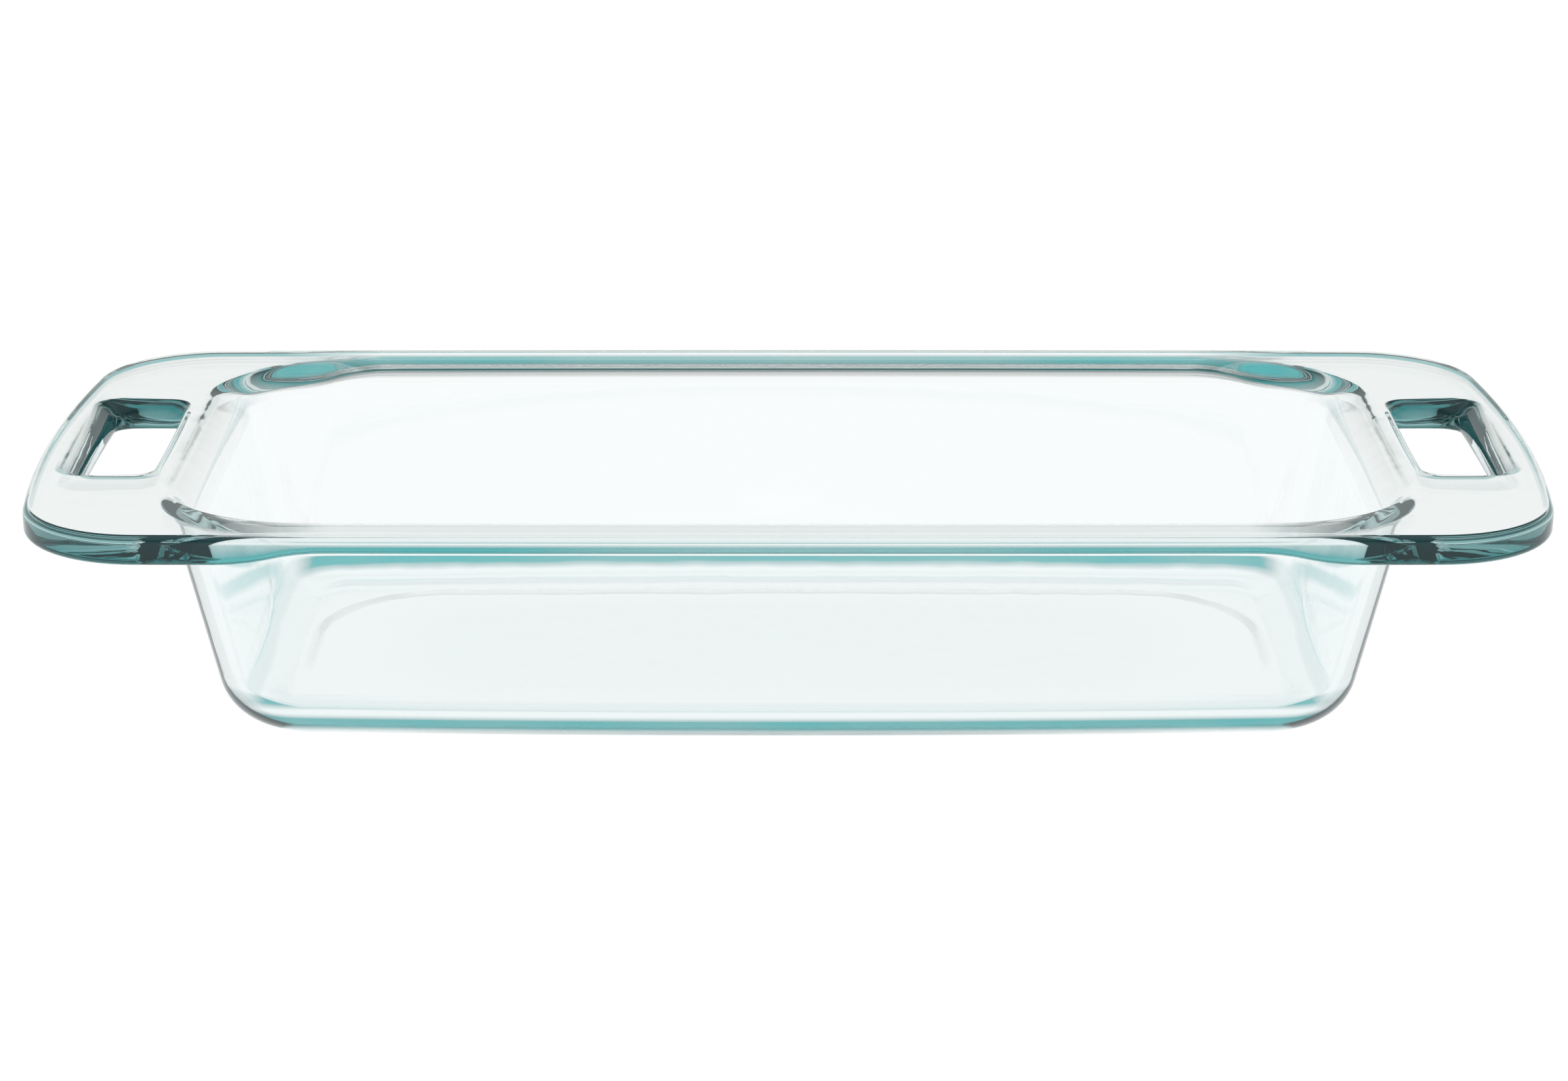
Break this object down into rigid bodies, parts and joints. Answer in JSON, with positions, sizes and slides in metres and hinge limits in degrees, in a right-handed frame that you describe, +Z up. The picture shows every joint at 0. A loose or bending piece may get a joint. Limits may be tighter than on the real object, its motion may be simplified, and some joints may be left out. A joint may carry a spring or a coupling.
{
  "type": "loaf pan",
  "caption": "Shallow rectangular pressed-glass loaf pan with tapered walls, a flat rim flange and a slotted grip handle at each end.",
  "frame": {"origin": "middle of the resting face, under the centre of the dish", "axes": "+X along the length from one handle to the other, +Y across the width, +Z up to the rim"},
  "size_m": [0.302, 0.136, 0.048],
  "materials": {
    "glass": "clear pressed glass with a pale aqua tint, polished"
  },
  "bodies": {
    "root": {"glass_dish": "glass"}
  },
  "joints": []
}
